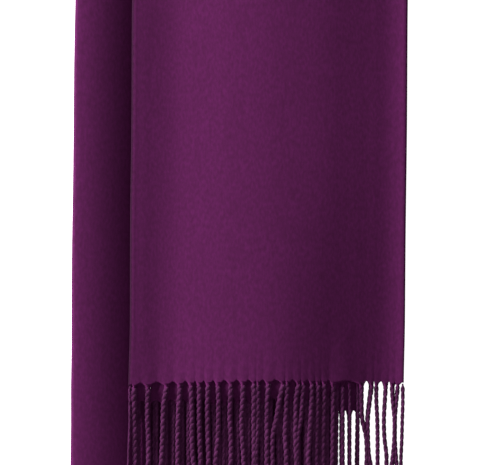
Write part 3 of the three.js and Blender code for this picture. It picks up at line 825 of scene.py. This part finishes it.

# %% [markdown]
# ## Materials
# Pashmina is a fine goat's wool, woven, dyed and brushed to a raised nap, which makes it deep and dull: rough
# all over, hardly glossy, with a thin sheen where loose fibres catch the light at a low angle. The nap lies
# along the warp, so its streaks are stretched along the shawl. A single fibre is 0.02 mm thick, far too fine to
# show, so the streaks are drawn as tufts of about 1.4 mm. The front's outer left fold has painted shade: its
# colour is darkened along the fold, and an attribute of the sheet says where. The fringe is the same wool as
# twisted yarn. Light spreads inside a yarn and softens its shaded side, so its normals are evened from side to
# side, and a faint painted glow of its own colour, which no lamp gives, lifts the deepest shade.

# %% Colour and node helpers


def linear(hex_code):
    """An sRGB hex colour as the linear values Blender uses."""
    channels = [int(hex_code[i : i + 2], 16) / 255 for i in (1, 3, 5)]
    return (*(c / 12.92 if c <= 0.04045 else ((c + 0.055) / 1.055) ** 2.4 for c in channels), 1.0)


def new_material(name):
    """A material with an empty node tree."""
    material = bpy.data.materials.new(name)
    material.use_nodes = True
    material.node_tree.nodes.clear()
    return material


def add_node(material, kind, settings=None, inputs=None):
    """Adds a node. An input may be a plain value or another node's output."""
    node = material.node_tree.nodes.new(kind)
    for key, value in (settings or {}).items():
        setattr(node, key, value)
    for key, value in (inputs or {}).items():
        if isinstance(value, bpy.types.NodeSocket):
            material.node_tree.links.new(value, node.inputs[key])
        else:
            node.inputs[key].default_value = value
    return node


def ramp(material, factor, stops):
    """A colour ramp through (place, colour) stops."""
    node = add_node(material, "ShaderNodeValToRGB", inputs={"Fac": factor})
    elements = node.color_ramp.elements
    for i, (place_at, colour) in enumerate(stops):
        element = elements[i] if i < 2 else elements.new(place_at)
        element.position = place_at
        element.color = colour
    return node.outputs["Color"]


print("deep purple in linear values:", [round(v, 4) for v in linear("#59204F")[:3]])


# %% The wool's patterns
TUFTS = 700.0  # noise cells to a metre, about 1.4 mm each
PATCHES = 55.0  # about 18 mm each, where a hand has stroked the nap
FOLD_SHADE_TONE = -0.75  # darkening of colour that paints shade on the outer fold


def noise_at(material, vector, scale, roughness):
    """A noise pattern's value."""
    inputs = {"Vector": vector, "Scale": scale, "Detail": 3.0, "Roughness": roughness}
    return add_node(material, "ShaderNodeTexNoise", inputs=inputs).outputs["Fac"]


def wool_colour(m, fibres, patches, shades):
    """Three shades of one dye, spread by the fibres and a little by the patches, with painted shade on the outer
    fold.
    """
    add = {"operation": "MULTIPLY_ADD"}
    tone = add_node(m, "ShaderNodeMath", add, {0: patches, 1: 0.15, 2: fibres}).outputs["Value"]
    colour = ramp(m, tone, [(where, linear(shade)) for where, shade in zip((0.35, 0.58, 0.8), shades)])
    # painted shade: the outer left fold loses this share of its colour
    fold = add_node(m, "ShaderNodeAttribute", {"attribute_name": "painted_fold_shade"}).outputs["Fac"]
    kept = add_node(m, "ShaderNodeMath", add, {0: fold, 1: FOLD_SHADE_TONE, 2: 1.0}).outputs["Value"]
    scale = {"operation": "SCALE"}
    return add_node(m, "ShaderNodeVectorMath", scale, {0: colour, "Scale": kept}).outputs["Vector"]


def evened_normal(m, even):
    """The surface's normal with its sideways part scaled by even."""
    facing = add_node(m, "ShaderNodeNewGeometry").outputs["Normal"]
    evened = add_node(m, "ShaderNodeVectorMath", {"operation": "MULTIPLY"}, {0: facing, 1: (even, 1.0, 1.0)})
    evened = add_node(m, "ShaderNodeVectorMath", {"operation": "NORMALIZE"}, {0: evened.outputs["Vector"]})
    return evened.outputs["Vector"]


print("a tuft is", round(1000 / TUFTS, 1), "mm and a patch", round(1000 / PATCHES), "mm across")


# %% Brushed cloth and twisted yarn
def wool(name, shades, streak, nap_height, sheen, glow, even):
    """Dyed wool in three shades, dark to light.

    streak is the stretch of its tufts along the shawl, nap_height its relief in mm, sheen and glow their
    weights, the glow being painted light in the wool's own colour, and even how much of the sideways shading is
    kept.
    """
    m = new_material(name)
    where = add_node(m, "ShaderNodeTexCoord").outputs["Object"]
    stretched = add_node(m, "ShaderNodeMapping", inputs={"Vector": where, "Scale": (1.0, 1.0 / streak, 1.0)})
    fibres = noise_at(m, stretched.outputs["Vector"], TUFTS, 0.5)
    patches = noise_at(m, where, PATCHES, 0.6)
    colour = wool_colour(m, fibres, patches, shades)
    nap = {
        "Strength": 0.6,
        "Distance": nap_height * MM,
        "Height": fibres,
        "Normal": evened_normal(m, even),
    }
    bump = add_node(m, "ShaderNodeBump", inputs=nap)
    shader = add_node(
        m,
        "ShaderNodeBsdfPrincipled",
        inputs={
            "Base Color": colour,
            "Roughness": 0.95,
            "IOR": 1.45,
            "Specular IOR Level": 0.2,
            "Sheen Weight": sheen,
            "Sheen Roughness": 0.4,
            "Sheen Tint": linear("#C98FC0"),
            # painted light: the emission makes the wool glow in its own colour, as no lamp would
            "Emission Color": colour,
            "Emission Strength": glow,
            "Normal": bump.outputs["Normal"],
        },
    )
    add_node(m, "ShaderNodeOutputMaterial", inputs={"Surface": shader.outputs["BSDF"]})
    return m


cloth_wool = wool(
    "brushed_pashmina_wool",
    ("#551749", "#5D1A52", "#661D5B"),
    streak=2.0,
    nap_height=0.018,
    sheen=0.02,
    glow=0.0,
    even=1.0,
)
yarn_wool = wool(
    "twisted_fringe_wool",
    ("#3F1836", "#511F49", "#602957"),
    streak=3.0,
    nap_height=0.04,
    sheen=0.03,
    # painted light: a glow that lifts the fringe's deepest shade
    glow=0.09,
    even=0.3,
)
fringes = [front_fringe, second_fringe, under_fringe, back_fringe, back_under_fringe]
for piece, material in [(cloth, cloth_wool)] + [(fringe, yarn_wool) for fringe in fringes]:
    piece.data.materials.clear()
    piece.data.materials.append(material)
print("materials:", cloth_wool.name, yarn_wool.name)

# %% [markdown]
# ## Handing the pieces to the frame
# Every piece says which nodes of the imported model it stands for, and those nodes are hidden.

# %% Tell the frame what each piece is
replaced = {
    cloth: ["front_panel", "front_inner_layers", "back_panel", "back_inner_layers"],
    front_fringe: ["front_fringe"],
    second_fringe: ["front_second_fringe"],
    under_fringe: ["front_under_fringe"],
    back_fringe: ["back_fringe"],
    back_under_fringe: ["back_under_fringe"],
}
for piece, nodes in replaced.items():
    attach(piece, "root")
    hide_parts(*nodes)
    print(piece.name, "stands for", ", ".join(nodes))

# %% [markdown]
# ## Table, light and camera
# The shawl was photographed from straight above on plain white. One broad soft light comes in low from the
# left, which brings out the slopes of the folds, and pale light from all round fills the rest. A small weak
# light near the fringe opens the gaps between its strands. The table glows a little, so that it stays white.

# %% The table
TABLE_DROP = 0.0003  # keeps the table clear of the cloth that lies on it
bpy.ops.object.select_all(action="DESELECT")
bpy.ops.mesh.primitive_plane_add(size=6.0, location=(0, 0, -TABLE_DROP))
table = bpy.context.object
table.name = "table"
table_white = new_material("white_table")
table_shader = add_node(
    table_white,
    "ShaderNodeBsdfPrincipled",
    inputs={
        "Base Color": linear("#F2F2F2"),
        "Roughness": 0.9,
        "Emission Color": linear("#FFFFFF"),
        "Emission Strength": 1.0,
    },
)
add_node(table_white, "ShaderNodeOutputMaterial", inputs={"Surface": table_shader.outputs["BSDF"]})
table.data.materials.append(table_white)

# %% Light


def area_light(name, place_at, aim, size, power):
    """A rectangular light aimed at a point, in metres and watts."""
    data = bpy.data.lights.new(name, "AREA")
    data.shape = "RECTANGLE"
    data.size, data.size_y = size
    data.energy = power
    obj = bpy.data.objects.new(name, data)
    bpy.context.collection.objects.link(obj)
    obj.location = place_at
    obj.rotation_euler = (Vector(aim) - Vector(place_at)).to_track_quat("-Z", "Y").to_euler()
    return data


area_light("low_light_left", (-1.394, 0.49, 0.441), (0.0, -0.16, 0.0), size=(1.4, 0.5), power=77.0)
fringe_fill = area_light("fill_at_fringe", (0.0, -0.55, 0.2), (0.0, -0.36, 0.0), size=(0.5, 0.15), power=0.055)
fringe_fill.spread = math.radians(60)
world = bpy.data.worlds.new("pale_room")
world.use_nodes = True
background = world.node_tree.nodes["Background"]
background.inputs["Color"].default_value = (1.0, 1.0, 1.0, 1.0)
background.inputs["Strength"].default_value = 0.10
bpy.context.scene.world = world

# %% Camera
VIEW_X, VIEW_Y, VIEW_WIDTH = 7.1, -162.4, 320.0  # middle and width of the picture on the table, in mm
camera_data = bpy.data.cameras.new("straight_down")
camera = bpy.data.objects.new("straight_down", camera_data)
bpy.context.collection.objects.link(camera)
camera_data.type = "PERSP"
camera_data.lens = 135.0
camera_data.sensor_width = 36.0
camera_data.dof.use_dof = False
distance = VIEW_WIDTH * MM * camera_data.lens / camera_data.sensor_width
camera.location = (VIEW_X * MM, VIEW_Y * MM, distance)
camera.rotation_euler = (0.0, 0.0, 0.0)
bpy.context.scene.camera = camera
bpy.context.scene.view_settings.view_transform = "Standard"
print("camera stands", round(distance, 3), "m above the table")
